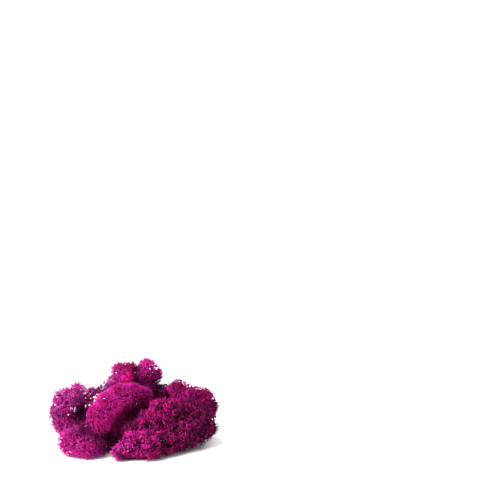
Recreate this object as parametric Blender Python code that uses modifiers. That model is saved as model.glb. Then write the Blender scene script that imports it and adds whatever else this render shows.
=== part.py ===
"""A loose clump of dyed reindeer lichen, lying on a table.

The clump is eight rounded heads.  Each head is a bush of fine twigs, laid out as a group of
round lobes that run into one another.  Its solid has a smaller core, and pointed twig ends
that stand on the core on all sides and stop at the bush's round outline.  Where two heads
meet, the twig ends are cut short, so that the heads never touch.  All lengths in the tables
and constants are in millimetres.
"""

import math
import random

import bmesh
import bpy
import numpy as np
from mathutils import Matrix, Vector
from mathutils.bvhtree import BVHTree

MM = 0.001
SEED = 41

# The core of a lobe, as a share of the lobe's radius; the twig ends fill the rest.
CORE_SHARE = 0.64
# Width over which neighbouring lobes run into one another.
BLEND = 1.3
# Grain of the core while its lobes are joined, and the passes that round it off.
CORE_GRAIN = 0.8
CORE_PASSES = 20
# Twig ends: size of the faces they stand on, their least reach, and sideways lean of a tip.
TWIG_WIDTH = 3.4
LEAST_REACH = 0.80
TIP_LEAN = 0.5
# Least length of a twig end, and least height of a tip above the table.
LEAST_TWIG = 1.0
TIP_HEIGHT = 0.5
# Clear space kept between two heads, on top of the twigs' own thickness.
HEAD_GAP = 0.4

# Lobes of each head: x, y, z of the centre and the radius out to the twig tips.
HEADS = {
    "left_head": [
        (-49.5, 3, 29.5, 11.5), (-53, 1, 22, 10), (-41, 5, 37, 7.5), (-39.5, 11, 25, 9.5),
        (-51, 1, 14.5, 10), (-40.5, 10, 16, 8.5), (-46, 8, 18, 11), (-45, 1, 10, 9.5),
        (-43, -7, 8, 9), (-48, 9, 5.5, 9.5), (-45, 15, 24, 10), (-44, 17, 12, 10),
        (-34, 9, 28, 7), (-34.5, 9, 19, 8), (-32, 11, 33, 5.5), (-36.5, -2, 6, 8)],
    "front_left_head": [
        (-43, -28, 9.5, 9.5), (-31, -31.5, 8, 9.5), (-23, -32, 8, 7), (-37.5, -28, 13, 9.5),
        (-28.5, -29, 9.5, 8), (-35, -26, 5, 9.5), (-38, -20, 8, 8.5), (-28, -20, 8, 8),
        (-18, -20, 5.5, 7)],
    "ridge_head": [
        (-24, -25, 21, 9), (-22, -19, 27, 10), (-16.5, -12, 32.5, 10), (-9.5, -4, 35.5, 10),
        (-2, 4, 33.5, 9.5), (6, 9, 31, 7.5), (-17, -5, 20.5, 8.5), (-6, 8, 24, 9),
        (-8, 4, 12, 9.5), (-6, 3, 6, 9), (-20, -14, 15, 8), (3, 13, 22, 9.5),
        (-3, 12, 10, 10), (-23, -6, 17, 9), (-10.5, -12, 7.5, 8), (-4, -6, 6, 9.5),
        (5, -2, 6, 9.5), (13, 4, 8, 9), (-24.5, 0, 7, 9), (-16, 7, 9, 8.5)],
    "top_left_head": [
        (-12.5, 26, 44.5, 8), (-7, 24, 39.5, 8.5), (-16.5, 24, 38, 7), (-5, 29, 45, 7),
        (-20, 19, 36, 5.5), (-24.5, 14, 34, 5)],
    "top_right_head": [
        (7.5, 28, 47.5, 7.5), (13, 27, 41, 7.5), (5, 27, 40.5, 8.5)],
    "right_head": [
        (30, 13, 36, 7.5), (39.5, 10, 31, 9), (48.5, 12, 28.5, 9), (53, 15, 20.5, 8),
        (43, 20, 18, 10), (31.5, 18, 23.5, 9.5), (33, 15, 30, 8.5), (43, 24, 6.5, 11),
        (36, 22, 17, 10.5)],
    "front_right_head": [
        (-7.5, -39, 7.5, 7.5), (1, -36, 11, 10.5), (12.5, -35, 11.5, 12.5), (25.5, -27, 13, 12),
        (37.5, -20, 16, 12.5), (47.5, -12, 20.5, 12.5), (52, -14, 15, 9.5), (27, -17, 26, 12),
        (19, -12, 29, 9), (10, -21, 23, 9), (38.5, -9, 25.5, 10), (17, -20, 20, 11),
        (12, -24, 5, 10), (32, -14, 9, 12), (36, -3, 16, 11), (23, -4, 15, 11),
        (46, -1, 13, 10), (8, -16, 12, 9.5), (19, -29, 12, 11.5), (-1.5, -20, 16, 8),
        (46, -15, 11, 9)],
    "back_head": [
        (-12, 30, 22, 13), (9, 33, 24, 13), (-10, 34, 9, 13), (10, 34, 8, 13.5),
        (22, 30, 17, 12.5), (-24, 27, 18, 10.5), (-1, 30, 5, 11), (24, 25, 9, 10),
        (-26, 24, 8, 9.5), (19, 16, 12, 11), (-27, 14, 10, 9.5), (0, 36, 29, 11),
        (0.5, 39, 37.5, 9), (20, 24, 29, 8.5)],
}

# Dye shades: material name, and colour as it looks on the twigs.
SHADES = {
    "lichen_magenta": (0.62, 0.02, 0.30, 1.0),
    "lichen_violet": (0.52, 0.03, 0.36, 1.0),
    "lichen_crimson": (0.46, 0.01, 0.17, 1.0),
}
HEAD_SHADE = {
    "left_head": "lichen_violet",
    "front_left_head": "lichen_magenta",
    "ridge_head": "lichen_magenta",
    "top_left_head": "lichen_crimson",
    "top_right_head": "lichen_violet",
    "right_head": "lichen_magenta",
    "front_right_head": "lichen_crimson",
    "back_head": "lichen_crimson",
}


def clear_scene():
    """Remove every object that is in the scene."""
    for item in list(bpy.data.objects):
        bpy.data.objects.remove(item, do_unlink=True)


def new_collection(name):
    """A collection linked under the scene."""
    group = bpy.data.collections.new(name)
    bpy.context.scene.collection.children.link(group)
    return group


def shade_material(name):
    """Matte dyed lichen in one shade."""
    material = bpy.data.materials.new(name)
    material.use_nodes = True
    shader = material.node_tree.nodes["Principled BSDF"]
    shader.inputs["Base Color"].default_value = SHADES[name]
    shader.inputs["Roughness"].default_value = 0.85
    shader.inputs["Metallic"].default_value = 0.0
    material.diffuse_color = SHADES[name]
    return material


def apply_modifiers(item):
    """Replace the object's mesh with its evaluated mesh, and drop the modifiers."""
    view = bpy.context.evaluated_depsgraph_get()
    made = bpy.data.meshes.new_from_object(item.evaluated_get(view))
    item.modifiers.clear()
    old = item.data
    item.data = made
    bpy.data.meshes.remove(old)


def outline_depth(points, name):
    """Depth to a head's outline, negative inside, with its lobes run into one another.

    It is -BLEND times the log of the sum over the lobes of exp(-(distance - radius) / BLEND).
    """
    lobes = np.array(HEADS[name], dtype=float)
    reach = np.linalg.norm(points[..., None, :] - lobes[:, :3], axis=-1) - lobes[:, 3]
    nearest = reach.min(axis=-1, keepdims=True)
    total = np.exp(-(reach - nearest) / BLEND).sum(axis=-1)
    return nearest[..., 0] - BLEND * np.log(total)


def outward(points, name):
    """Unit direction in which the depth grows fastest, from central differences."""
    slope = np.zeros_like(points)
    for axis in range(3):
        step = np.zeros(3)
        step[axis] = 0.2
        slope[:, axis] = outline_depth(points + step, name) - outline_depth(points - step, name)
    return slope / np.linalg.norm(slope, axis=1, keepdims=True)


def clear_share(roots, tips, name):
    """Share of each twig end that stays above the table and short of the other heads.

    The border between two heads is where a point is equally deep in both, and a twig end
    stops its own thickness and HEAD_GAP before it.
    """
    steps = np.linspace(0.0, 1.0, 33)
    points = roots[:, None, :] + (tips - roots)[:, None, :] * steps[None, :, None]
    margin = 0.6 * TWIG_WIDTH * (1.0 - steps)[None, :] + HEAD_GAP
    own = outline_depth(points, name)
    blocked = points[:, :, 2] < TIP_HEIGHT
    for rival in HEADS:
        if rival != name:
            blocked |= own - outline_depth(points, rival) > -margin
    first = np.where(blocked.any(axis=1), blocked.argmax(axis=1), len(steps))
    return np.clip(first - 1, 0, len(steps) - 1) / (len(steps) - 1)


def add_core(name, group):
    """The core: small balls at the lobes' centres, joined, rounded off and made coarse."""
    shape = bmesh.new()
    for x, y, z, radius in HEADS[name]:
        place = Matrix.Translation(Vector((x, y, z)) * MM)
        bmesh.ops.create_icosphere(
            shape, subdivisions=4, radius=radius * CORE_SHARE * MM, matrix=place)
    mesh = bpy.data.meshes.new(name)
    shape.to_mesh(mesh)
    shape.free()
    core = bpy.data.objects.new(name, mesh)
    group.objects.link(core)
    grain = core.modifiers.new("grain", "REMESH")
    grain.mode = "VOXEL"
    grain.voxel_size = CORE_GRAIN * MM
    rounding = core.modifiers.new("rounding", "SMOOTH")
    rounding.factor = 0.5
    rounding.iterations = CORE_PASSES
    apply_modifiers(core)
    area = sum(face.area for face in core.data.polygons) / MM ** 2
    wanted = area / (0.433 * TWIG_WIDTH ** 2)
    present = sum(len(face.vertices) - 2 for face in core.data.polygons)
    thinning = core.modifiers.new("thinning", "DECIMATE")
    thinning.ratio = wanted / present
    apply_modifiers(core)
    return core


def crossing_twigs(points, faces, roots):
    """Numbers of the twig ends that run through another one.

    Three faces in a row make one twig end, each with two corners on the core and the tip.
    Faces with no common corner are tested against each other, and neighbours by a ray along
    each edge, from just above the core to just below the tip.
    """
    places = [Vector(point) for point in points]
    tree = BVHTree.FromPolygons(places, faces)
    crossing = set()
    for first, second in tree.overlap(tree):
        if first < second and not set(faces[first]) & set(faces[second]):
            crossing.update((first // 3, second // 3))
    for number, (corner, _, tip) in enumerate(faces):
        start = 0.95 * points[corner] + 0.03 * points[tip] + 0.02 * roots[number // 3]
        way = 0.98 * (points[tip] - start)
        reach = np.linalg.norm(way)
        if reach > 0.01:
            hit = tree.ray_cast(Vector(start), Vector(way), reach)[2]
            if hit is not None and hit // 3 != number // 3:
                crossing.update((hit // 3, number // 3))
    return crossing


def raise_twigs(core, name, draw):
    """Stand a three-sided twig end on each face of the core."""
    shape = bmesh.new()
    shape.from_mesh(core.data)
    bmesh.ops.triangulate(shape, faces=shape.faces)
    faces = list(shape.faces)
    base = np.array([vertex.co[:] for vertex in shape.verts]) / MM
    rings = [[vertex.index for vertex in face.verts] for face in faces]
    roots = base[np.array(rings)].mean(axis=1)
    length = -outline_depth(roots, name)
    length = length * np.array([draw.uniform(LEAST_REACH, 1.0) for _ in faces])
    lean = np.array([[draw.uniform(-1.0, 1.0) for _ in range(3)] for _ in faces]) * TIP_LEAN
    spikes = outward(roots, name) * length[:, None] + lean
    spikes *= clear_share(roots, roots + spikes, name)[:, None]
    sides = [(ring[turn], ring[(turn + 1) % 3], len(base) + number)
             for number, ring in enumerate(rings) for turn in range(3)]
    for _ in range(60):
        spikes[np.linalg.norm(spikes, axis=1) < LEAST_TWIG] = 0.0
        crossing = crossing_twigs(np.vstack([base, roots + spikes]), sides, roots)
        if not crossing:
            break
        spikes[list(crossing)] *= 0.9
    for face, root, spike in zip(faces, roots, spikes):
        if spike.any():
            made = bmesh.ops.poke(shape, faces=[face])
            made["verts"][0].co = Vector((root + spike) * MM)
    shape.to_mesh(core.data)
    shape.free()


def cut_level(body, table):
    """Cut the body off where it goes below the table top."""
    if min(vertex.co.z for vertex in body.data.vertices) < 0.0:
        cut = body.modifiers.new("table", "BOOLEAN")
        cut.operation = "DIFFERENCE"
        cut.solver = "EXACT"
        cut.object = table
        apply_modifiers(body)


clear_scene()
clump = new_collection("reindeer_lichen_clump")
cutters = new_collection("cutters")
draw = random.Random(SEED)
shades = {name: shade_material(name) for name in SHADES}

# The table top, used only to cut the low lobes flat.
bpy.ops.mesh.primitive_cube_add(size=1.0, location=(0.0, 0.0, -20.0 * MM))
table = bpy.context.object
table.name = "table_cutter"
table.scale = (200.0 * MM, 200.0 * MM, 40.0 * MM)
table.hide_render = True
table.display_type = "WIRE"
for group in list(table.users_collection):
    group.objects.unlink(table)
cutters.objects.link(table)
bpy.context.view_layer.update()

heads = []
for name in HEADS:
    head = add_core(name, clump)
    raise_twigs(head, name, draw)
    cut_level(head, table)
    head.data.materials.clear()
    head.data.materials.append(shades[HEAD_SHADE[name]])
    heads.append(head)

# The origin goes to the middle of the clump's bounding box, on the table.
corners = np.array([vertex.co[:] for head in heads for vertex in head.data.vertices])
middle = 0.5 * (corners.min(axis=0) + corners.max(axis=0))
for head in heads:
    head.data.transform(Matrix.Translation((-middle[0], -middle[1], 0.0)))
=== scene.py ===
import math

import bpy
import numpy as np
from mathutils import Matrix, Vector


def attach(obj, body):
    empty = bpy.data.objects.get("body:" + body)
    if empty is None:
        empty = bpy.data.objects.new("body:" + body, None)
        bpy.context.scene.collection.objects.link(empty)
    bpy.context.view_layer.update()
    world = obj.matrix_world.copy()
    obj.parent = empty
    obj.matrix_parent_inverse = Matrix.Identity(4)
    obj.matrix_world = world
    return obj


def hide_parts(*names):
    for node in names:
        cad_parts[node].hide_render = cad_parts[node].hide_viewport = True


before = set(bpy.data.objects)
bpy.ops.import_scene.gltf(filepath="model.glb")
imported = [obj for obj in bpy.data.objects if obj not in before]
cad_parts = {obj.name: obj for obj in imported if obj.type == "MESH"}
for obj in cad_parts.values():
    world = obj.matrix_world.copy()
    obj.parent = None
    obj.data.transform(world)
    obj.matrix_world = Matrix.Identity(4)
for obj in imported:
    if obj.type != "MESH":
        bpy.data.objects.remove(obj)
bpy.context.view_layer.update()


# Left head

# A loose, ragged dome of dyed reindeer lichen. The lichen is a bush of thin hollow twigs that fork
# again and again and end in tiny stars. It was soaked in dye and glycerine, so it is matt and soft.

MM = 0.001
SHIFT = np.array([0.717, -0.120, 0.0])  # mm, from the places in LOBES to the frame

# each head's rounded lobes in mm: x, y, z and radius
LOBES = {
    "left_head": [
        (-49.5, 3, 29.5, 11.5), (-53, 1, 22, 10), (-41, 5, 37, 7.5), (-39.5, 11, 25, 9.5),
        (-51, 1, 14.5, 10), (-40.5, 10, 16, 8.5), (-46, 8, 18, 11), (-45, 1, 10, 9.5),
        (-43, -7, 8, 9), (-48, 9, 5.5, 9.5), (-45, 15, 24, 10), (-44, 17, 12, 10),
        (-34, 9, 28, 7), (-34.5, 9, 19, 8), (-32, 11, 33, 5.5), (-36.5, -2, 6, 8)],
    "front_left_head": [
        (-43, -28, 9.5, 9.5), (-31, -31.5, 8, 9.5), (-23, -32, 8, 7), (-37.5, -28, 13, 9.5),
        (-28.5, -29, 9.5, 8), (-35, -26, 5, 9.5), (-38, -20, 8, 8.5), (-28, -20, 8, 8),
        (-18, -20, 5.5, 7)],
    "ridge_head": [
        (-24, -25, 21, 9), (-22, -19, 27, 10), (-16.5, -12, 32.5, 10), (-9.5, -4, 35.5, 10),
        (-2, 4, 33.5, 9.5), (6, 9, 31, 7.5), (-17, -5, 20.5, 8.5), (-6, 8, 24, 9),
        (-8, 4, 12, 9.5), (-6, 3, 6, 9), (-20, -14, 15, 8), (3, 13, 22, 9.5),
        (-3, 12, 10, 10), (-23, -6, 17, 9), (-10.5, -12, 7.5, 8), (-4, -6, 6, 9.5),
        (5, -2, 6, 9.5), (13, 4, 8, 9), (-24.5, 0, 7, 9), (-16, 7, 9, 8.5)],
    "top_left_head": [
        (-12.5, 26, 44.5, 8), (-7, 24, 39.5, 8.5), (-16.5, 24, 38, 7), (-5, 29, 45, 7),
        (-20, 19, 36, 5.5), (-24.5, 14, 34, 5)],
    "top_right_head": [
        (7.5, 28, 47.3, 7.5), (13, 27, 41, 7.5), (5, 27, 40.5, 8.5)],
    "right_head": [
        (30, 13, 36, 7.5), (39.5, 10, 31, 9), (48.5, 12, 28.5, 9), (53, 15, 20.5, 8),
        (43, 20, 18, 10), (31.5, 18, 23.5, 9.5), (33, 15, 30, 8.5), (43, 24, 6.5, 11),
        (36, 22, 17, 10.5)],
    "front_right_head": [
        (-7.5, -39, 7.5, 7.5), (1, -36, 11, 10.5), (12.5, -35, 11.5, 12.5), (25.5, -27, 13, 12),
        (37.5, -20, 16, 12.5), (47.5, -12, 20.5, 12.5), (52, -14, 15, 9.5), (27, -17, 26, 12),
        (19, -12, 29, 9), (10, -21, 23, 9), (38.5, -9, 25.5, 10), (17, -20, 20, 11),
        (12, -24, 5, 10), (32, -14, 9, 12), (36, -3, 16, 11), (23, -4, 15, 11),
        (46, -1, 13, 10), (8, -16, 12, 9.5), (19, -29, 12, 11.5), (-1.5, -20, 16, 8),
        (46, -15, 11, 9)],
    "back_head": [
        (-12, 30, 22, 13), (9, 33, 24, 13), (-10, 34, 9, 13), (10, 34, 8, 13.5),
        (22, 30, 17, 12.5), (-24, 27, 18, 10.5), (-1, 30, 5, 11), (24, 25, 9, 10),
        (-26, 24, 8, 9.5), (19, 16, 12, 11), (-27, 14, 10, 9.5), (0, 36, 29, 11),
        (0.5, 39, 37.5, 9), (20, 24, 29, 8.5)],
}
HEADS = {}  # the same lobes in the frame
for head, rows in LOBES.items():
    HEADS[head] = np.array(rows, float) + np.append(SHIFT, 0.0)

BLEND = 1.3  # mm, over which two lobes of a head run into each other


def lobe_gaps(points, lobes):
    """Distance from each point to each lobe's middle, less the lobe's radius."""
    return np.linalg.norm(points[:, None] - lobes[None, :, :3], axis=2) - lobes[:, 3]


def outline(points, lobes):
    """How far each point is outside a head: the least lobe gap, rounded off over BLEND mm, that
    is less BLEND times the log of the sum of exp((least gap - gap) / BLEND)."""
    gaps = lobe_gaps(points, lobes)
    least = gaps.min(axis=1)
    return least - BLEND * np.log(np.exp((least[:, None] - gaps) / BLEND).sum(axis=1))


def unit(ways):
    """Each row at length 1."""
    return ways / np.maximum(np.linalg.norm(ways, axis=1, keepdims=True), 1e-9)


def outward(points, lobes):
    """The way out of a head: the mean way from the lobes' middles, the nearest counting most."""
    away = points[:, None] - lobes[None, :, :3]
    far = np.linalg.norm(away, axis=2)
    gaps = far - lobes[:, 3]
    share = np.exp((gaps.min(axis=1)[:, None] - gaps) / BLEND)
    share /= share.sum(axis=1, keepdims=True) * np.maximum(far, 1e-6)
    return unit((share[:, :, None] * away).sum(axis=1))


ROWS_AT_ONCE = 1500  # so that the table of distances stays small


def nearest(points, others, which=1):
    """For each point, the row of its nearest (or which-th nearest) other point, and how far."""
    rows, fars = [], []
    for part in np.array_split(points, len(points) // ROWS_AT_ONCE + 1):
        gap = ((part[:, None] - others[None]) ** 2).sum(axis=2)
        row = np.argpartition(gap, which - 1, axis=1)[:, which - 1]
        rows.append(row)
        fars.append(np.sqrt(gap[np.arange(len(part)), row]))
    return np.concatenate(rows), np.concatenate(fars)


WAVE_COUNT = 5
WAVE_SPREAD = 0.7, 1.4  # fewest and most waves to the length that is asked for
WAVE_HEIGHT = 2.6       # usual height of the sum of the waves


def waves(points, length, seed):
    """A smooth random value between about -1 and 1: the sum of five sine waves of about that
    length in mm, each with a way and a start of its own, over the usual height of such a sum."""
    rng = np.random.default_rng(seed)
    ways = unit(rng.normal(size=(WAVE_COUNT, 3))) * (2 * math.pi / length)
    ways *= rng.uniform(*WAVE_SPREAD, (WAVE_COUNT, 1))
    starts = rng.uniform(0, 2 * math.pi, WAVE_COUNT)
    return np.sin(points @ ways.T + starts).sum(axis=1) / WAVE_HEIGHT


def slid(points, lobes, depth):
    """The points moved straight out or in, three times over, onto the surface depth mm inside the
    outline."""
    for _ in range(3):
        points = points - (outline(points, lobes) + depth)[:, None] * outward(points, lobes)
    return points


GOLDEN_TURN = math.pi * (3 - math.sqrt(5))
SPIRAL_FILL = 0.866  # area to a point of the spiral, as a share of its spacing squared
SHAKEN = 0.3         # how far the points are shaken, as a share of the spacing
LEAST_SIZE = 0.3     # of a spiral, as a share of the lobe's radius
ON_SHELL = 0.3       # mm, how near the surface a point has to come


def shell(lobes, depth, spacing, rng):
    """Points spacing mm apart on the surface depth mm inside the outline: on each lobe a golden
    spiral shaken a little, kept where that lobe is nearest, then slid straight onto the surface."""
    found = []
    for i, (x, y, z, radius) in enumerate(lobes):
        size = max(radius - depth, LEAST_SIZE * radius)
        count = int(4 * math.pi * size ** 2 / (SPIRAL_FILL * spacing ** 2)) + 3
        step = np.arange(count) + 0.5
        up = 1 - 2 * step / count
        ring = np.sqrt(1 - up * up)
        turn = step * GOLDEN_TURN + rng.uniform(0, 2 * math.pi)
        ways = np.stack([ring * np.cos(turn), up, ring * np.sin(turn)], axis=1)
        ways = unit(ways + rng.normal(0, SHAKEN * spacing / size, ways.shape))
        points = np.array([x, y, z]) + size * ways
        found.append(points[lobe_gaps(points, lobes).argmin(axis=1) == i])
    points = slid(np.concatenate(found), lobes, depth)
    return points[np.abs(outline(points, lobes) + depth) < ON_SHELL]


FLOOR_GAP = 0.35  # mm, from the table to the middle of the lowest twigs


def above_table(points):
    """The points, lifted to FLOOR_GAP where they are lower."""
    points[:, 2] = np.maximum(points[:, 2], FLOOR_GAP)
    return points


def triangle_round(places, side, other, width):
    """Three points a third of a turn apart, half the width from each place, ring by ring."""
    turns = np.arange(3) * 2 * math.pi / 3
    spokes = [math.cos(turn) * side + math.sin(turn) * other for turn in turns]
    return [places + spoke * width / 2 for spoke in spokes]


def twig_tubes(roots, ends, root_width, end_width, bend, rng, pointed=False):
    """Three-sided twigs. A ring of three points round the root, one round the middle, which is
    moved by bend, and one round the end, or a single point there. Both ends are closed."""
    count = len(roots)
    along = unit(ends - roots)
    side = unit(np.cross(along, unit(rng.normal(size=(count, 3)))))
    other = np.cross(along, side)
    middles = above_table((roots + ends) / 2 + bend)
    rings = triangle_round(roots, side, other, root_width)
    rings += triangle_round(middles, side, other, (root_width + end_width) / 2)
    faces = [(2, 1, 0)]
    for low in (0, 3):
        for corner in range(3):
            following = (corner + 1) % 3
            faces.append((low + corner, low + following, low + 3 + following))
            faces.append((low + corner, low + 3 + following, low + 3 + corner))
    if pointed:
        rings.append(ends)
        faces = faces[:7] + [(3, 4, 6), (4, 5, 6), (5, 3, 6)]
        level = np.array([0, 0, 0, 0.5, 0.5, 0.5, 1])
    else:
        rings += triangle_round(ends, side, other, end_width)
        faces.append((6, 7, 8))
        level = np.repeat([0, 0.5, 1], 3)
    faces = np.array(faces)[None] + (np.arange(count) * len(rings))[:, None, None]
    return np.stack(rings, axis=1).reshape(-1, 3), faces.reshape(-1, 3), level


FOOT_BACK = 0.15  # how far a spike's foot is behind the twig's end, as a share of its length


def prongs(ends, ways, length, width, rng):
    """Thin spikes with three sides and a closed foot, each from its end along its way. The foot
    is a little behind the end, so that it is inside the twig."""
    count = len(ends)
    side = unit(np.cross(ways, unit(rng.normal(size=(count, 3)))))
    foot = ends - ways * FOOT_BACK * length[:, None]
    rings = triangle_round(foot, side, np.cross(ways, side), width)
    rings.append(above_table(ends + ways * length[:, None]))
    faces = np.array([(2, 1, 0), (0, 1, 3), (1, 2, 3), (2, 0, 3)])
    faces = faces[None] + (np.arange(count) * 4)[:, None, None]
    return np.stack(rings, axis=1).reshape(-1, 3), faces.reshape(-1, 3), np.array([0, 0, 0, 1])


# Depth under the outline is painted shade: the deeper a twig lies in the bush, the darker its
# colour, and every mm of depth added below (stars, strands, whiskers, the heads' own sections)
# darkens it the same way.
DEEP = 8.0                  # mm under the outline, where the twigs are darkest
TURNED = 0.012              # change of tone and of depth round a twig
MAP_EDGE = 0.002            # the colours are read no nearer to the map's edge than this
STRAND_WIDTHS = 0.36, 0.26  # mm, of a loose strand at its root and end
STRAND_BEND = 0.7           # sideways bend of a strand, times the spread of its ends
STRAND_LIGHTER = 1.5        # mm of depth by which a strand's end is lighter than its root


class Bush:
    """Gathers the twigs of one piece: their points, faces, and the tone and depth of each point."""

    def __init__(self):
        self.points, self.faces, self.marks, self.total = [], [], [], 0

    def add(self, shape, tone, root_depth, end_depth):
        """Adds twigs. Round each ring the tone and the depth change a little, so that no face
        lies on a line in the map from which the colour is read."""
        points, faces, level = shape
        count = len(points) // len(level)
        corner = np.arange(len(level)) % 3
        tones = tone[:, None] + (corner[None] - 1) * TURNED
        depths = root_depth[:, None] * (1 - level) + end_depth[:, None] * level
        depths = depths / DEEP + np.where(corner == 1, -TURNED, TURNED / 2)[None]
        self.points.append(points)
        self.faces.append(faces + self.total)
        self.marks.append(np.stack([tones.reshape(-1), depths.reshape(-1)], axis=1))
        self.total += count * len(level)

    def add_strands(self, start, end, spread, count, tone, depth, seed):
        """Adds loose bent strands. Each runs from a random place round start to one round end."""
        rng = np.random.default_rng(seed)
        roots = above_table(start + rng.normal(0, spread, (count, 3)))
        ends = above_table(end + rng.normal(0, spread, (count, 3)))
        bend = rng.normal(0, STRAND_BEND * spread, (count, 3))
        self.add(twig_tubes(roots, ends, *STRAND_WIDTHS, bend, rng), np.full(count, tone),
                 np.full(count, depth), np.full(count, depth - STRAND_LIGHTER))

    def piece(self, name, material, slot, node):
        """The mesh object, with the map OFBake that holds tone across and depth up."""
        points = np.concatenate(self.points) * MM
        faces = np.concatenate(self.faces)
        marks = np.clip(np.concatenate(self.marks), MAP_EDGE, 1 - MAP_EDGE)
        mesh = bpy.data.meshes.new(name)
        mesh.vertices.add(len(points))
        mesh.vertices.foreach_set("co", points.astype(np.float32).ravel())
        mesh.loops.add(faces.size)
        mesh.loops.foreach_set("vertex_index", faces.astype(np.int32).ravel())
        mesh.polygons.add(len(faces))
        mesh.polygons.foreach_set("loop_start", np.arange(0, faces.size, 3, dtype=np.int32))
        mesh.update(calc_edges=True)
        tone_map = mesh.uv_layers.new(name="OFBake")
        tone_map.data.foreach_set("uv", marks[faces.ravel()].astype(np.float32).ravel())
        mesh.polygons.foreach_set("use_smooth", np.ones(len(faces), bool))
        mesh.materials.append(material)
        thing = bpy.data.objects.new(name, mesh)
        bpy.context.scene.collection.objects.link(thing)
        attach(thing, "root")
        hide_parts(node)


def nowhere(points):
    """Nought at every point."""
    return 0.0 * points[:, 0]


# how a head's twigs look, where its own section says nothing else
PLAIN_LOOK = {
    "spacing": 1.2,     # mm between twig ends
    "twig": 0.46,       # mm, width of the last twigs
    "tip": 0.28,        # mm, width of a twig's end, where its star begins
    "star": 0.9,        # mm, length of the star points
    "points": 3,        # points to a star
    "stout": 1.0,       # widths of the inner stems, times STEM_WIDTHS
    "cross": (3, 5),    # which nearest neighbours an inner fork is tied to
    "web": (),          # the same for the forks just under the twig ends
    "thick": 1.0,       # widths of the ties, times TIE_WIDTHS
    "curl": 0.1,        # sideways bend of a twig, as a share of its length
    "ragged": 0.4,      # mm that twig ends stop short by
    "whiskers": 0.05,   # share of the twig ends that carry a loose hair
    "tuft": 4.2,        # mm between the small tufts
    "crease": 1.0,      # mm, dip between tufts
    "holes": 0.0,       # share of the tufts that are missing
    "hollow": 2.0,      # mm, dip that a missing tuft leaves
    "knob": 10,         # mm between the larger knobs
    "furrow": 0.8,      # mm, dip between knobs
    "knots": [],        # knobs that stand near these places: x, y and z in mm
    "pits": [],         # open pits: x, y, z and radius in mm
    "sparse": nowhere,  # share of the outer twigs left out
    "tone": nowhere,    # place in the row of dye colours
    "pale": 0.1,        # share of the twigs that are paler
    "shade": 0.8,       # mm of depth by which some patches are darker
    "patch": 7,         # mm, size of those patches
    "grain": 0.5,       # mm of depth by which single twigs are lighter or darker
    # dark is mostly painted shade, and painted highlight where it is below nought.
    "dark": nowhere,    # mm of depth added, place by place
}

HEAD_GAP = 0.3       # mm, between the twigs of two heads
PRESSED = 1.5        # mm below the table down to which points are kept and pressed up onto it
PRESSED_BACK = 0.15  # how far above that inner twigs stay, as a share of their depth
OUTER = 2.0          # mm, depth from which on no twigs are left out of a sparse head


def kept(points, depth, look, lobes, others, rng):
    """The points that belong to this head, pressed flat where they meet the table."""
    points = points[points[:, 2] > -PRESSED]
    points[:, 2] = np.maximum(points[:, 2], FLOOR_GAP + PRESSED_BACK * depth)
    for *middle, radius in look["pits"]:
        points = points[np.linalg.norm(points - middle, axis=1) > radius]
    if look["sparse"] is not nowhere and depth < OUTER:
        points = points[rng.uniform(size=len(points)) > look["sparse"](points)]
    return points[outline(points, others) - outline(points, lobes) > HEAD_GAP]


CREASE_PLACE = 0.6  # how far from a middle a crease is at its full dip, as a share of the spacing
DIP_LIMIT = 1.2     # the same share past which the dip grows no more
HOLE_SIZE = 0.55    # radius of a missing tuft, as a share of the spacing


def dents(points, look, tufts, holes, knobs):
    """How many mm each point is moved in: most in the creases between the small tufts and between
    the larger knobs, where the nearest middle is furthest, and in the holes of missing tufts."""
    far = nearest(points, tufts)[1] / (CREASE_PLACE * look["tuft"])
    dent = look["crease"] * np.clip(far, 0, DIP_LIMIT) ** 2
    far = nearest(points, knobs)[1] / (CREASE_PLACE * look["knob"])
    dent += look["furrow"] * np.clip(far, 0, DIP_LIMIT) ** 3
    if len(holes):
        far = nearest(points, holes)[1] / (HOLE_SIZE * look["tuft"])
        dent += look["hollow"] * np.clip(1 - far ** 2, 0, 1)
    return dent


# Painted shade: the twigs beside another head and round a pit are drawn darker.
SHADE_REACH = 5.0  # mm from another head, within which the twigs get darker
HEAD_SHADE = 0.7   # mm of depth for each mm nearer to the other head
PIT_SHADE = 5.0    # mm of depth by which the twigs round a pit are darker
PIT_RIM = 1.4      # how far out that shade goes, times the pit's radius


def shades(points, look, others, seed, rng):
    """How many mm deeper each point looks: in patches, twig by twig, where the head's own section
    says so, and, as painted shade, beside another head and round a pit."""
    shade = look["shade"] * np.maximum(waves(points, look["patch"], seed), 0)
    shade += rng.normal(0, look["grain"], len(points)) + look["dark"](points)
    shade += HEAD_SHADE * np.clip(SHADE_REACH - outline(points, others), 0, SHADE_REACH)
    for *middle, radius in look["pits"]:
        far = np.linalg.norm(points - middle, axis=1) / (PIT_RIM * radius)
        shade += PIT_SHADE * np.exp(-far ** 4)
    return shade


STAR_WAYS = 0.75, 0.25, 0.55  # how much a star point goes along its twig, outward and at random
STAR_LENGTHS = 0.6, 1.15      # shortest and longest, times the look's own
STAR_WIDTH = 0.9              # times the width of the twig's end
STAR_PALER = 0.03             # change of tone
STAR_LIGHTER = 0.3            # mm of depth, at the very tip


def add_stars(bush, ends, along, out, tone, depths, look, rng):
    """Adds the small star at each twig's end: one spike after another, each its own way."""
    on, up, loose = STAR_WAYS
    for _ in range(look["points"]):
        ways = unit(on * along + up * out + loose * rng.normal(size=ends.shape))
        length = rng.uniform(*STAR_LENGTHS, len(ends)) * look["star"]
        bush.add(prongs(ends, ways, length, look["tip"] * STAR_WIDTH, rng), tone + STAR_PALER,
                 depths, depths - STAR_LIGHTER)


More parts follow.
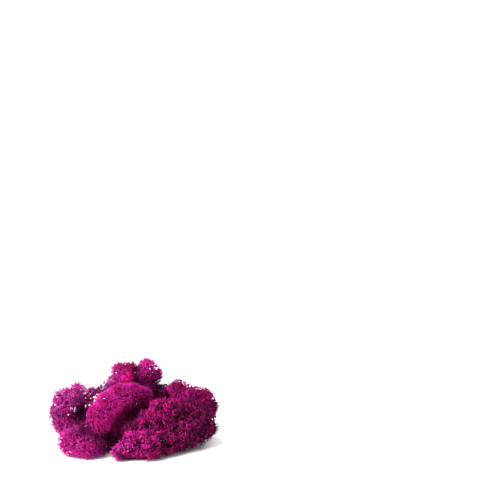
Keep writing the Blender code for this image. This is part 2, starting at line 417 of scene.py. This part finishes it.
WHISKER_LENGTHS = 1.4, 3.6   # mm, shortest and longest
WHISKER_WIDTHS = 0.22, 0.16  # mm, at the root and, were it not pointed, at the end
WHISKER_REACH = 1.4          # mm that a hair may stand out of the outline
WHISKER_LOOSE = 0.6          # how much its way is random
WHISKER_BEND = 0.3           # as a share of its length
WHISKER_REDDER = 0.05        # change of tone
WHISKER_DARKER = 3.2, 2.7    # mm of depth, at root and end


def add_whiskers(bush, ends, out, tone, depths, look, lobes, rng):
    """Adds a thin bent hair at some of the twig ends, where it stays near the outline."""
    few = rng.uniform(size=len(ends)) < look["whiskers"]
    ways = unit(out[few] + WHISKER_LOOSE * rng.normal(size=(few.sum(), 3)))
    length = rng.uniform(*WHISKER_LENGTHS, (few.sum(), 1))
    tips = above_table(ends[few] + ways * length)
    clear = outline(tips, lobes) < WHISKER_REACH
    bend = WHISKER_BEND * length * unit(rng.normal(size=ways.shape))
    hairs = twig_tubes(ends[few][clear], tips[clear], *WHISKER_WIDTHS, bend[clear], rng, True)
    root_darker, end_darker = WHISKER_DARKER
    bush.add(hairs, tone[few][clear] - WHISKER_REDDER, depths[few][clear] + root_darker,
             depths[few][clear] + end_darker)


# The twigs fork on four shells. A row holds the shell's depth under the outline in mm, the
# spacing of its points as mm plus times the look's own spacing, and its share of the dents.
SHELLS = [(6.0, 4.0, 0.0, 0.0), (3.4, 0.0, 2.1, 0.0), (1.5, 0.0, 1.5, 0.9), (0.0, 0.0, 1.0, 1.0)]
STEM_WIDTHS = 1.9, 1.2, 0.8  # mm, at the middle of a lobe and on the two inner shells
TIE_WIDTHS = 1.6, 1.0, 0.6   # mm, of the ties on the three inner shells
TWIG_REACH = 2.6    # longest twig, times the spacing of the shell that it grows from
TWIG_RISE = 0.12    # how far a twig bends outward, as a share of its length
TIE_REACH = 2.5     # longest tie, times the spacing of its shell
TIE_CURL = 0.15     # bend of a tie, as a share of its length
TONE_GRAIN = 0.07   # change of tone from twig to twig
PALER = 0.3         # change of tone of a pale twig
KNOT_ROOM = 0.7     # room that other knobs leave round a knot, as a share of their spacing


def grow_head(head, seed, look):
    """The bush of one head. Its twig ends lie on the outline and their forks on shells further
    in, and each point is joined to the nearest point of the next shell in, or of the lobes'
    middles. Dents move the points of the two outer shells in. Ties join neighbouring forks."""
    rng = np.random.default_rng(seed)
    lobes = HEADS[head]
    others = np.concatenate([rows for name, rows in HEADS.items() if name != head])
    tufts = shell(lobes, 0.0, look["tuft"], rng)
    holes = tufts[rng.uniform(size=len(tufts)) < look["holes"]]
    knobs = shell(lobes, 0.0, look["knob"], rng)
    if look["knots"]:
        knots = slid(np.array(look["knots"], float), lobes, 0.0)
        apart = nearest(knobs, knots)[1] > KNOT_ROOM * look["knob"]
        knobs = np.concatenate([knots, knobs[apart]])

    widths = [look["stout"] * width for width in STEM_WIDTHS] + [look["twig"], look["tip"]]
    ranks = look["cross"], look["cross"], look["web"], ()
    inner = lobes[:, :3]
    reach = math.inf
    bush = Bush()
    for step, (depth, fixed, times, share) in enumerate(SHELLS):
        last = step == len(SHELLS) - 1
        gap = fixed + times * look["spacing"]
        layer = shell(lobes, depth, gap, rng)
        if share:
            dent = share * dents(layer, look, tufts, holes, knobs)
            layer -= dent[:, None] * outward(layer, lobes)
        if last:
            short = np.abs(rng.normal(0, look["ragged"], len(layer)))
            layer -= short[:, None] * outward(layer, lobes)
        layer = kept(layer, depth, look, lobes, others, rng)
        parent, far = nearest(layer, inner)
        near = far < TWIG_REACH * reach
        layer, parent, far = layer[near], parent[near], far[near]
        roots = inner[parent]
        tone = look["tone"](layer) + rng.normal(0, TONE_GRAIN, len(layer))
        tone += PALER * (rng.uniform(size=len(layer)) < look["pale"])
        shade = shades(layer, look, others, seed, rng)
        depths = shade - outline(layer, lobes)
        root_depths = shade - outline(roots, lobes)
        out = outward(layer, lobes)
        curl = rng.normal(0, look["curl"], (len(layer), 3))
        bend = far[:, None] * (TWIG_RISE * out + curl)
        bush.add(twig_tubes(roots, layer, widths[step], widths[step + 1], bend, rng, last),
                 tone, root_depths, depths)
        for rank in ranks[step]:
            row, span = nearest(layer, layer, which=rank)
            close = span < TIE_REACH * gap
            one, two = layer[close], layer[row[close]]
            bend = span[close][:, None] * rng.normal(0, TIE_CURL, (len(one), 3))
            width = look["thick"] * TIE_WIDTHS[step]
            bush.add(twig_tubes(one, two, width, width, bend, rng),
                     tone[close], depths[close], depths[row[close]])
        inner, reach = layer, gap
    add_stars(bush, layer, unit(layer - roots), out, tone, depths, look, rng)
    add_whiskers(bush, layer, out, tone, depths, look, lobes, rng)
    return bush


# The darkening with depth in DARKNESS is painted shade.
DYES = [(0.0, (0.36, 0.003, 0.075)), (0.25, (0.46, 0.006, 0.14)), (0.5, (0.55, 0.011, 0.24)),
        (0.75, (0.56, 0.035, 0.34)), (1.0, (0.66, 0.20, 0.52))]  # tone and its colour
DARKNESS = [(0.0, 0.0), (0.1, 0.1), (0.28, 0.5), (0.6, 0.88), (1.0, 0.97)]  # depth and its share
ROUGHNESS = 0.72, 0.95  # at the outline and deepest
GLOSS = 0.05            # of the twigs' skin


def dyed_lichen_colours():
    """Node group: the colour of a twig from its tone (across the map) and depth (up the map).
    Tone runs from crimson over magenta to pale mauve, depth from the full colour to near black,
    which is painted shade inside the bush.
    The deeper twigs are rougher too, because dust and dry dye stay on them."""
    group = bpy.data.node_groups.new("dyed lichen colours", "ShaderNodeTree")
    face = group.interface
    face.new_socket("Map", in_out="INPUT", socket_type="NodeSocketVector")
    face.new_socket("Deep colour", in_out="INPUT", socket_type="NodeSocketColor")
    face.new_socket("Color", in_out="OUTPUT", socket_type="NodeSocketColor")
    face.new_socket("Roughness", in_out="OUTPUT", socket_type="NodeSocketFloat")
    nodes, links = group.nodes, group.links
    given, made = nodes.new("NodeGroupInput"), nodes.new("NodeGroupOutput")
    parts = nodes.new("ShaderNodeSeparateXYZ")
    links.new(given.outputs["Map"], parts.inputs[0])

    def ramp(stops, value):
        """A colour ramp with these places and colours, read at the value."""
        node = nodes.new("ShaderNodeValToRGB")
        stops_made = node.color_ramp.elements
        for i, (place, colour) in enumerate(stops):
            stop = stops_made[i] if i < 2 else stops_made.new(place)
            stop.position, stop.color = place, (*colour, 1)
        links.new(value, node.inputs[0])
        return node.outputs["Color"]

    greys = [(place, (share,) * 3) for place, share in DARKNESS]
    mixed = nodes.new("ShaderNodeMix")
    mixed.data_type = "RGBA"
    links.new(ramp(greys, parts.outputs["Y"]), mixed.inputs["Factor"])
    links.new(ramp(DYES, parts.outputs["X"]), mixed.inputs["A"])
    links.new(given.outputs["Deep colour"], mixed.inputs["B"])
    links.new(mixed.outputs["Result"], made.inputs["Color"])
    rough = nodes.new("ShaderNodeMapRange")
    rough.inputs["To Min"].default_value, rough.inputs["To Max"].default_value = ROUGHNESS
    links.new(parts.outputs["Y"], rough.inputs["Value"])
    links.new(rough.outputs["Result"], made.inputs["Roughness"])
    return group


LICHEN_COLOURS = dyed_lichen_colours()


def dyed_lichen(name, deep):
    """Matt dyed lichen: its colour and roughness come from the map OFBake."""
    material = bpy.data.materials.new(name)
    material.use_nodes = True
    nodes, links = material.node_tree.nodes, material.node_tree.links
    shader = nodes["Principled BSDF"]
    place = nodes.new("ShaderNodeUVMap")
    place.uv_map = "OFBake"
    dye = nodes.new("ShaderNodeGroup")
    dye.node_tree = LICHEN_COLOURS
    dye.inputs["Deep colour"].default_value = (*deep, 1)
    links.new(place.outputs["UV"], dye.inputs["Map"])
    links.new(dye.outputs["Color"], shader.inputs["Base Color"])
    links.new(dye.outputs["Roughness"], shader.inputs["Roughness"])
    shader.inputs["Specular IOR Level"].default_value = GLOSS
    return material


VIOLET = dyed_lichen("violet dyed lichen", deep=(0.04, 0.0015, 0.026))


def left_tone(points):
    """Mauve on top, magenta lower down; the paler top is a painted highlight."""
    return 0.50 + 0.10 * waves(points, 14, 1) + 0.006 * (points[:, 2] - 22)


def left_dark(points):
    """Painted shade: darker in the hollow on the right and low down."""
    hollow = np.exp(-((points[:, 0] + 38) / 6) ** 2 - ((points[:, 2] - 20) / 9) ** 2)
    return 3.0 * hollow + 0.25 * np.clip(14 - points[:, 2], 0, 8) * (points[:, 0] > -52)


def left_sparse(points):
    """More twig ends are left out towards the upper left edge, which is like lace."""
    return 0.4 * np.clip((-points[:, 0] - 48) / 8 + (points[:, 2] - 30) / 10, 0, 1)


LEFT_LOOK = {
    **PLAIN_LOOK, "spacing": 1.15, "twig": 0.38, "tip": 0.24, "star": 1.1, "stout": 0.6,
    "ragged": 1.0, "whiskers": 0.3, "tuft": 5.0, "crease": 0.9, "holes": 0.04, "hollow": 2.5,
    "knob": 11, "furrow": 1.2, "sparse": left_sparse, "tone": left_tone, "pale": 0.35,
    "shade": 0.4, "patch": 9, "dark": left_dark}
left = grow_head("left_head", 11, LEFT_LOOK)
left.piece("left_head_twigs", VIOLET, "lichen_violet", "left_head")


# Front left head

# A low, springy head at the front left, half under the ridge. It is the same lichen, with its
# twigs closer together, and its underside is pressed flat on the table.

MAGENTA = dyed_lichen("magenta dyed lichen", deep=(0.034, 0.0015, 0.019))


def front_left_tone(points):
    """Magenta, with a few redder spots, and paler higher up as a painted highlight."""
    return 0.46 + 0.12 * waves(points, 11, 2) + 0.006 * (points[:, 2] - 10)


def front_left_dark(points):
    """Darker towards the right end and on top, which the ridge and the left head shade."""
    top = np.clip(points[:, 2] - 15, 0, 8) * (points[:, 0] < -29)
    return 0.45 * np.clip(points[:, 0] + 27, 0, 12) + 0.4 * top


FRONT_LEFT_LOOK = {
    **PLAIN_LOOK, "spacing": 1.3, "twig": 0.44, "star": 1.0, "whiskers": 0.08, "tuft": 4.5,
    "holes": 0.03, "hollow": 1.6, "knob": 11, "tone": front_left_tone, "pale": 0.15,
    "dark": front_left_dark}
front_left = grow_head("front_left_head", 12, FRONT_LEFT_LOOK)
front_left.piece("front_left_head_twigs", MAGENTA, "lichen_magenta", "front_left_head")


# Ridge head

# The long, dense ridge that runs back and to the right over the other heads. Its twig ends are
# packed like felt, with a bright crest and a flank that falls into the dark valley beside it. Shade
# is painted on that flank.

def ridge_tone(points):
    """Magenta, with a pink cast on top that is a painted highlight."""
    return 0.35 + 0.10 * waves(points, 12, 3) + 0.006 * (points[:, 2] - 28)


def ridge_dark(points):
    """Painted shade: darker on the flank right of its crest, towards its right end, at its left
    edge and at the very top."""
    right = 0.75 * (points[:, 0] + 24) - 0.66 * (points[:, 1] + 25)
    ends = 0.12 * np.clip(points[:, 0] + 4, 0, 40) + 0.3 * np.clip(-24 - points[:, 0], 0, 10)
    return 0.8 * np.clip(right - 7.5, 0, 8) + ends + 0.2 * np.clip(points[:, 2] - 38, 0, 8)


def ridge_sparse(points):
    """A quarter of the twig ends near the table are left out."""
    return 0.25 * np.clip((16 - points[:, 2]) / 4, 0, 1)


RIDGE_LOOK = {
    **PLAIN_LOOK, "tip": 0.3, "star": 0.8, "points": 2, "cross": (3,), "ragged": 0.3,
    "whiskers": 0.04, "tuft": 4.0, "crease": 0.7, "knob": 12, "furrow": 0.4,
    "sparse": ridge_sparse, "tone": ridge_tone, "pale": 0.12, "shade": 0.5, "patch": 6,
    "dark": ridge_dark}
ridge = grow_head("ridge_head", 13, RIDGE_LOOK)
ridge.piece("ridge_head_twigs", MAGENTA, "lichen_magenta", "ridge_head")


# Top heads

# Two small heads of the same lichen lie on top. The left one is crimson in its middle and thin
# at its edge, and its wispy tail, with one bare stem, leans on the left head. The right one is
# dyed more violet, and loose strands hang under it.

CRIMSON = dyed_lichen("crimson dyed lichen", deep=(0.032, 0.0015, 0.015))


def top_left_tone(points):
    """Mauve at the left edge, crimson on the right."""
    return np.clip(0.58 - 0.04 * (points[:, 0] + 16), 0.12, 0.75) + 0.1 * waves(points, 9, 4)


def top_left_dark(points):
    """A painted highlight in its middle, and painted shade in the tail that leans on the ridge."""
    middle = np.exp(-((points[:, 0] + 6) / 5) ** 2 - ((points[:, 2] - 41) / 6) ** 2)
    return 2.5 * np.clip((38 - points[:, 2]) / 4, 0, 1) * (points[:, 0] < -16) - 3.0 * middle


def top_left_sparse(points):
    """More twig ends are left out towards the upper left edge."""
    return 0.35 * np.clip((-10 - points[:, 0]) / 6, 0, 1) * (points[:, 2] > 39)


TOP_LEFT_LOOK = {
    **PLAIN_LOOK, "spacing": 1.1, "twig": 0.36, "tip": 0.24, "star": 1.1, "stout": 0.6,
    "cross": (2, 3, 5, 7), "thick": 1.3, "ragged": 1.0, "whiskers": 0.3, "holes": 0.03,
    "knob": 9, "furrow": 0.6, "sparse": top_left_sparse, "tone": top_left_tone, "pale": 0.25,
    "dark": top_left_dark}
STEM = np.array([(-27.6, 14, 36.5), (-26.2, 13.9, 39.3), (-28.9, 13.9, 41.0)])  # mm, its bends
STEM_WIDTH = 0.3, 0.24   # mm, at the two ends of each length of it
STEM_DEPTHS = 4.0, 3.0   # mm, the same
STEM_TONE = 0.5
top_left = grow_head("top_left_head", 14, TOP_LEFT_LOOK)
top_left.add_strands(start=(-30.5, 11, 33), end=(-24.5, 12, 34.5), spread=1.8, count=60,
                     tone=0.55, depth=4.5, seed=44)
straight = np.zeros((2, 3))
bare_stem = twig_tubes(STEM[:-1], STEM[1:], *STEM_WIDTH, straight, np.random.default_rng(4))
top_left.add(bare_stem, np.full(2, STEM_TONE), *(np.full(2, depth) for depth in STEM_DEPTHS))
top_left.piece("top_left_head_twigs", CRIMSON, "lichen_crimson", "top_left_head")


def top_right_tone(points):
    """Bright violet pink, paler higher up as a painted highlight."""
    return 0.42 + 0.1 * waves(points, 9, 5) + 0.01 * (points[:, 2] - 45)


def top_right_dark(points):
    """Painted shade: darker low down, where it hangs over the ridge, and on the right."""
    return 0.4 * np.clip(46 - points[:, 2], 0, 8) + 0.1 * np.clip(points[:, 0] - 6, 0, 12)


TOP_RIGHT_LOOK = {
    **PLAIN_LOOK, "cross": (2, 3, 5, 7), "thick": 1.5, "whiskers": 0.06, "tuft": 4.0,
    "crease": 0.9, "knob": 9, "furrow": 0.6, "tone": top_right_tone, "dark": top_right_dark}
top_right = grow_head("top_right_head", 15, TOP_RIGHT_LOOK)
top_right.add_strands(start=(8.5, 17, 34.5), end=(15, 23, 34), spread=1.8, count=60,
                      tone=0.4, depth=8.0, seed=45)
top_right.piece("top_right_head_twigs", VIOLET, "lichen_violet", "top_right_head")


# Right head

# A rounded, dense head on the right that catches the light on its top. It is the same lichen,
# and it leans on the back head and the front right head.

def right_tone(points):
    """Crimson magenta, a little more violet on its highest knobs as a painted highlight."""
    return 0.27 + 0.12 * waves(points, 10, 6) + 0.006 * (points[:, 2] - 28)


def right_dark(points):
    """A little darker all over, and painted shade on the right flank and on top."""
    right = 0.06 * np.clip(points[:, 0] - 38, 0, 30)
    return 0.7 + right + 0.12 * np.clip(points[:, 2] - 32, 0, 12)


RIGHT_LOOK = {
    **PLAIN_LOOK, "cross": (3, 5, 7), "thick": 1.5, "holes": 0.02, "hollow": 1.5,
    "tone": right_tone, "pale": 0.05, "dark": right_dark}
right = grow_head("right_head", 16, RIGHT_LOOK)
right.piece("right_head_twigs", MAGENTA, "lichen_magenta", "right_head")


# Front right head

# The biggest head, coarse and open: knots of thicker twigs stand apart with dark gaps and one
# deep pit between them, where shade is painted too. Loose strands fill its low front end, where
# it lies on the table.

def front_right_tone(points):
    """Crimson and magenta patches, with a painted highlight that makes the low front corner pinker
    and painted shade that makes the right end redder.
    """
    corner = np.clip(14 - points[:, 0], 0, 20) * np.clip((-24 - points[:, 1]) / 8, 0, 1)
    return 0.30 + 0.18 * waves(points, 9, 7) - 0.003 * (points[:, 0] - 10) + 0.008 * corner


def front_right_dark(points):
    """Painted shade: darker towards the right end, beside the valley and under the right head."""
    valley = np.clip(12 - points[:, 0], 0, 12) * np.clip((points[:, 1] + 29) / 8, 0, 1)
    brow = np.clip(points[:, 1] + 15, 0, 10) * np.clip((points[:, 0] - 18) / 8, 0, 1)
    return 0.15 + 0.07 * np.clip(points[:, 0] - 8, 0, 50) + 0.65 * valley + 0.35 * brow


FRONT_RIGHT_LOOK = {
    **PLAIN_LOOK, "spacing": 1.75, "twig": 0.62, "tip": 0.42, "star": 1.35, "stout": 0.85,
    "web": (3,), "curl": 0.22, "ragged": 0.7, "whiskers": 0.08, "tuft": 3.6, "crease": 1.5,
    "holes": 0.12, "hollow": 3.0, "knob": 9, "furrow": 2.6,
    "knots": [(-10, -44, 13), (2, -35, 21), (-1, -40, 20), (20, -16, 37), (12, -46, 16),
              (13, -22, 32), (17, -26, 29), (26, -24, 35), (30, -38, 17), (39, -30, 23),
              (19, -36, 23)],
    "pits": [(13.5, -31.5, 23.8, 3.0)], "tone": front_right_tone, "pale": 0.12, "shade": 2.0,
    "grain": 1.3, "dark": front_right_dark}
front_right = grow_head("front_right_head", 17, FRONT_RIGHT_LOOK)
front_right.add_strands(start=(-9, -36, 4), end=(9, -34, 5), spread=2.2, count=110,
                        tone=0.3, depth=5.0, seed=46)
front_right.piece("front_right_head_twigs", CRIMSON, "lichen_crimson", "front_right_head")


# Back head

# The part of the clump that the other heads lie against, unseen from the front. It is the same
# lichen, coarser than the small heads, and it stands on the table on its lowest lobes.

def back_tone(points):
    """Crimson magenta."""
    return 0.32 + 0.14 * waves(points, 13, 8)


def back_dark(points):
    """Dark, as painted shade, where it shows between the top heads and the right head."""
    return 4.0 * np.exp(-((points[:, 0] - 20) / 8) ** 2 - ((points[:, 1] - 20) / 12) ** 2)


BACK_LOOK = {
    **PLAIN_LOOK, "spacing": 1.7, "twig": 0.5, "tip": 0.32, "star": 1.0, "points": 2,
    "thick": 1.1, "ragged": 0.5, "whiskers": 0.04, "tuft": 5.0, "crease": 1.4, "holes": 0.06,
    "hollow": 2.4, "knob": 11, "furrow": 1.5, "tone": back_tone, "pale": 0.08, "shade": 1.5,
    "patch": 9, "dark": back_dark}
back = grow_head("back_head", 18, BACK_LOOK)
back.piece("back_head_twigs", CRIMSON, "lichen_crimson", "back_head")


# Table, light and camera

# A white table that runs on out of sight, a soft light from the upper left with a weaker one
# straight above, and a long lens that looks slightly down, as the photograph was taken.

TABLE_CORNERS = [(-9, -3, 0), (9, -3, 0), (9, 20, 0), (-9, 20, 0)]  # metres
TABLE_WHITE = 0.92
TABLE_ROUGHNESS = 0.9
table_mesh = bpy.data.meshes.new("table_top")
table_mesh.from_pydata(TABLE_CORNERS, [], [(0, 1, 2, 3)])
table_top = bpy.data.objects.new("table_top", table_mesh)
bpy.context.scene.collection.objects.link(table_top)
white = bpy.data.materials.new("white table")
white.use_nodes = True
white_shader = white.node_tree.nodes["Principled BSDF"]
white_shader.inputs["Base Color"].default_value = (TABLE_WHITE, TABLE_WHITE, TABLE_WHITE, 1)
white_shader.inputs["Roughness"].default_value = TABLE_ROUGHNESS
table_mesh.materials.append(white)

ROOM_LIGHT = 0.46
world = bpy.data.worlds.new("white studio")
world.use_nodes = True
world.node_tree.nodes["Background"].inputs["Color"].default_value = (1, 1, 1, 1)
world.node_tree.nodes["Background"].inputs["Strength"].default_value = ROOM_LIGHT
bpy.context.scene.world = world

# name, strength, width in degrees and the way to the light
LAMPS = [("softbox", 15.0, 48, (-0.6, -0.42, 0.68)), ("ceiling_light", 3.0, 100, (0, 0, 1))]
for name, strength, width, way in LAMPS:
    light = bpy.data.lights.new(name, "SUN")
    light.energy, light.angle = strength, math.radians(width)
    lamp = bpy.data.objects.new(name, light)
    lamp.rotation_euler = Vector(way).to_track_quat("Z", "Y").to_euler()
    bpy.context.scene.collection.objects.link(lamp)

CAMERA_PLACE = np.array([82.5, -938.9, 361.3])  # mm, measured as the places in LOBES are
CAMERA_TILT = 76.8        # degrees, up from looking straight down
FOCAL_LENGTH = 100        # mm
FILM_WIDTH = 36           # mm
lens = bpy.data.cameras.new("camera")
lens.lens, lens.sensor_width = FOCAL_LENGTH, FILM_WIDTH
camera = bpy.data.objects.new("camera", lens)
camera.location = (CAMERA_PLACE + SHIFT) * MM
camera.rotation_euler = (math.radians(CAMERA_TILT), 0, 0)
bpy.context.scene.collection.objects.link(camera)
bpy.context.scene.camera = camera
bpy.context.scene.view_settings.view_transform = "Standard"
